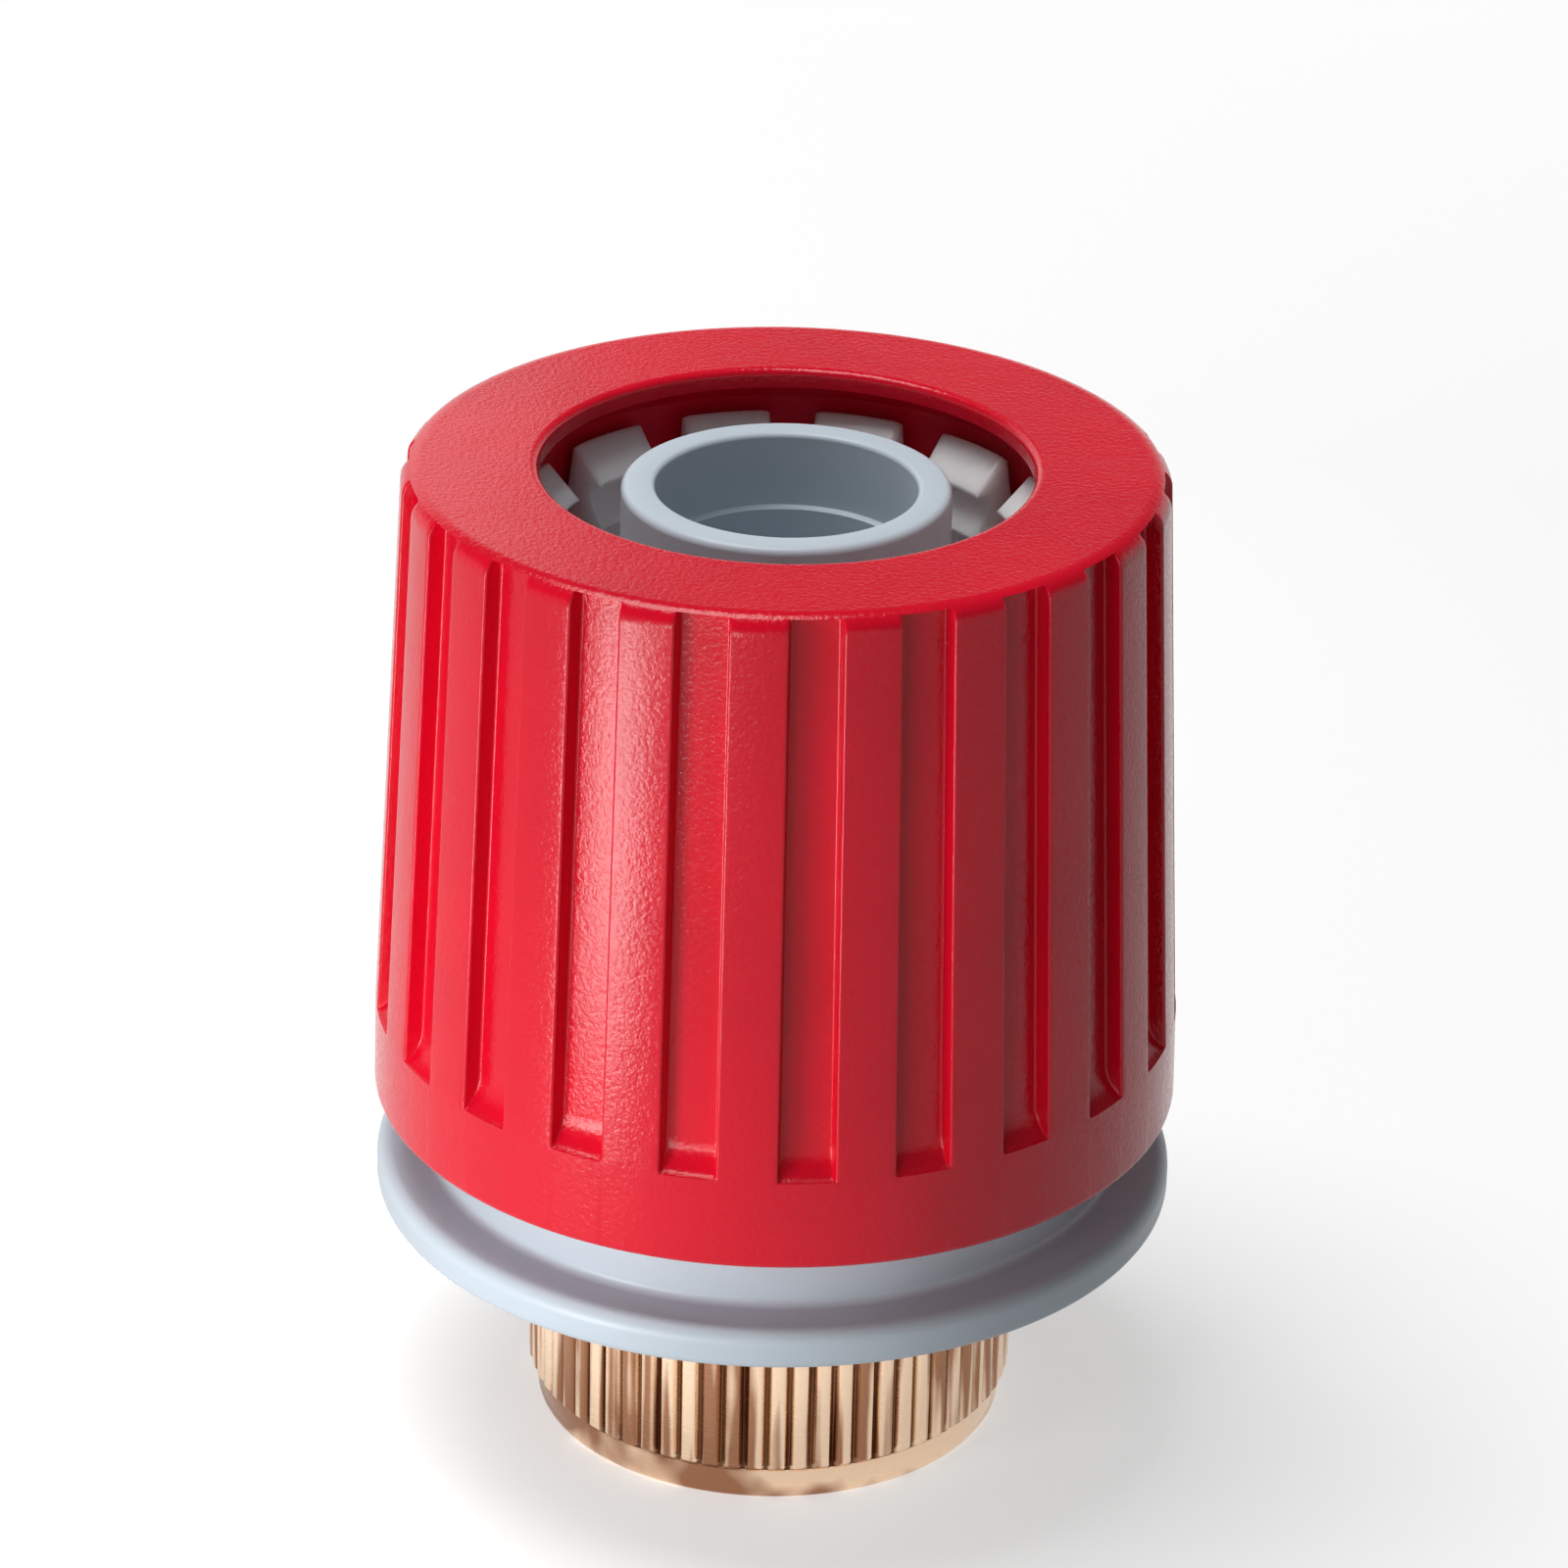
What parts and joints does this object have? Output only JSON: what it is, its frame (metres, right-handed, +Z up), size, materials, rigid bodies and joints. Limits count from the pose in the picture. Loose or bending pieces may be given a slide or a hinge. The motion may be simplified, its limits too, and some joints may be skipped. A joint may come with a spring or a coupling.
{
  "type": "tap connector",
  "caption": "Tap connector: knurled brass union nut, grey flanged body with hose spigot, white toothed clamp ring and a fluted red clamp nut on a coarse screw thread.",
  "frame": {"origin": "centre of the union nut's lower rim, on the surface that the connector stands on", "axes": "+Z up along the water path, from the tap end to the hose end; -Y is the front of the picture"},
  "size_m": [0.0462, 0.0462, 0.0588],
  "materials": {
    "brass": "turned and knurled, satin",
    "rubber": "matte black rubber",
    "grey_plastic": "satin light blue-grey moulding",
    "white_plastic": "milky translucent white moulding",
    "red_plastic": "fine spark-eroded grain, saturated red"
  },
  "bodies": {
    "connector": {"connector_body": "grey_plastic", "hose_spigot": "grey_plastic"},
    "claw_ring": {"clamp_ring": "white_plastic"},
    "clamp_cap": {"clamp_nut": "red_plastic"},
    "washer": {"gasket": "rubber"},
    "union": {"union_nut": "brass"}
  },
  "joints": [
    {"name": "clamp_nut_turn", "type": "hinge", "parent": "connector", "child": "claw_ring", "pos_m": [0, 0, 0.04], "axis": [0, 0, 1], "range_deg": [-72, 900]},
    {"name": "clamp_nut_travel", "type": "slide", "parent": "claw_ring", "child": "clamp_cap", "axis": [0, 0, 1], "range_m": [-0.0008, 0.01]},
    {"name": "union_nut_play", "type": "slide", "parent": "connector", "child": "washer", "axis": [0, 0, -1], "range_m": [0, 0.0013]},
    {"name": "union_nut_turn", "type": "hinge", "parent": "washer", "child": "union", "pos_m": [0, 0, 0.007], "axis": [0, 0, 1], "continuous": true}
  ],
  "couplings": [
    {"joint": "clamp_nut_travel", "follows": "clamp_nut_turn", "m_per_rad": 0.00063662}
  ]
}
